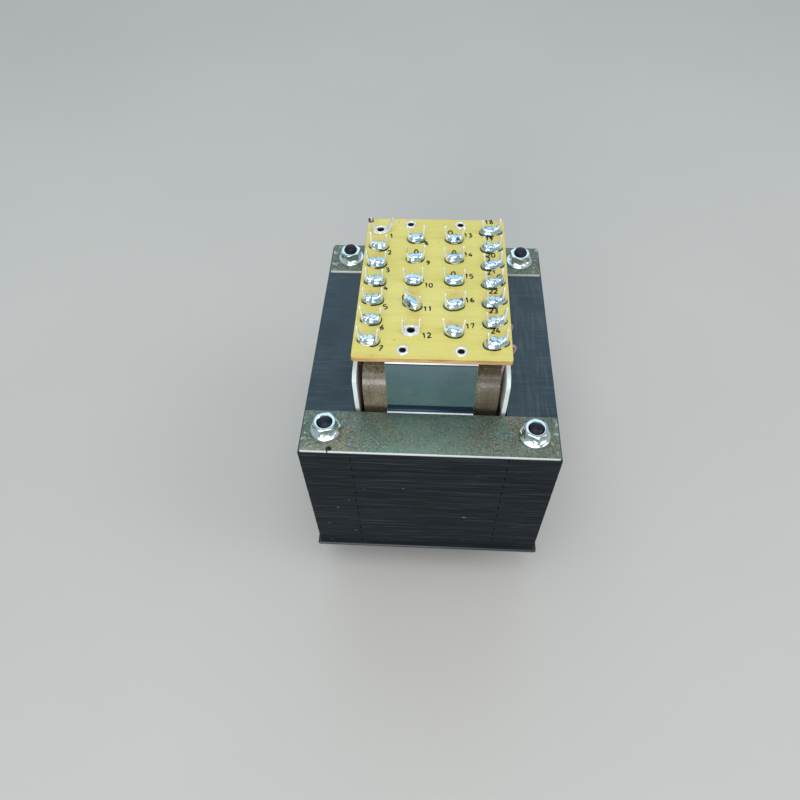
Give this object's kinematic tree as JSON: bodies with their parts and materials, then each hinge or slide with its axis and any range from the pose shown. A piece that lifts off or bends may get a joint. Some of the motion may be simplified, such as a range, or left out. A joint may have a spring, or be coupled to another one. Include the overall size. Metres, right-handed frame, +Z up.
{
  "type": "tube amplifier power transformer",
  "caption": "Laminated-core mains transformer standing on a black end bell, with a paper-wrapped coil and a riveted board of solder lugs on top.",
  "frame": {"origin": "middle of the end bell's closed face, under the centre of the core", "axes": "+X along the core's legs to the right, +Y to the back across the legs, +Z up through the stack to the terminal board"},
  "size_m": [0.097, 0.118, 0.1332],
  "materials": {
    "core_steel": "black varnished lamination edges, satin",
    "bell_paint": "black baked enamel, satin",
    "bobbin_board": "pressboard",
    "cheek_fibre": "off-white fibre board",
    "coil_copper": "enamelled copper wire",
    "wrap_kraft": "varnished brown kraft paper",
    "bracket_chromate": "yellow chromate over zinc",
    "board_fibre": "mustard phenolic fibre board",
    "eyelet_tin": "bright tin plate",
    "lug_tin": "bright tin plate",
    "solder": "bright solder",
    "lead_enamel": "enamelled copper wire",
    "bolt_black": "blackened steel",
    "nut_zinc": "bright bluish zinc"
  },
  "bodies": {
    "root": {"end_bell": "bell_paint", "core_e_left": "core_steel", "core_i_right": "core_steel", "core_e_right": "core_steel", "core_i_left": "core_steel", "bobbin_tube": "bobbin_board", "cheek_left": "cheek_fibre", "cheek_right": "cheek_fibre", "winding": "coil_copper", "coil_wrap": "wrap_kraft", "front_bracket": "bracket_chromate", "back_bracket": "bracket_chromate", "terminal_board": "board_fibre", "board_eyelets": "eyelet_tin", "lugs_outer_left": "lug_tin", "lugs_inner_left": "lug_tin", "lugs_inner_right": "lug_tin", "lugs_outer_right": "lug_tin", "open_lugs": "lug_tin", "solder_outer_left": "solder", "solder_inner_left": "solder", "solder_inner_right": "solder", "solder_outer_right": "solder", "leads_left": "lead_enamel", "leads_right": "lead_enamel", "bolt_front_left": "bolt_black", "nut_front_left": "nut_zinc", "bolt_front_right": "bolt_black", "nut_front_right": "nut_zinc", "bolt_back_left": "bolt_black", "nut_back_left": "nut_zinc", "bolt_back_right": "bolt_black", "nut_back_right": "nut_zinc"}
  },
  "joints": []
}
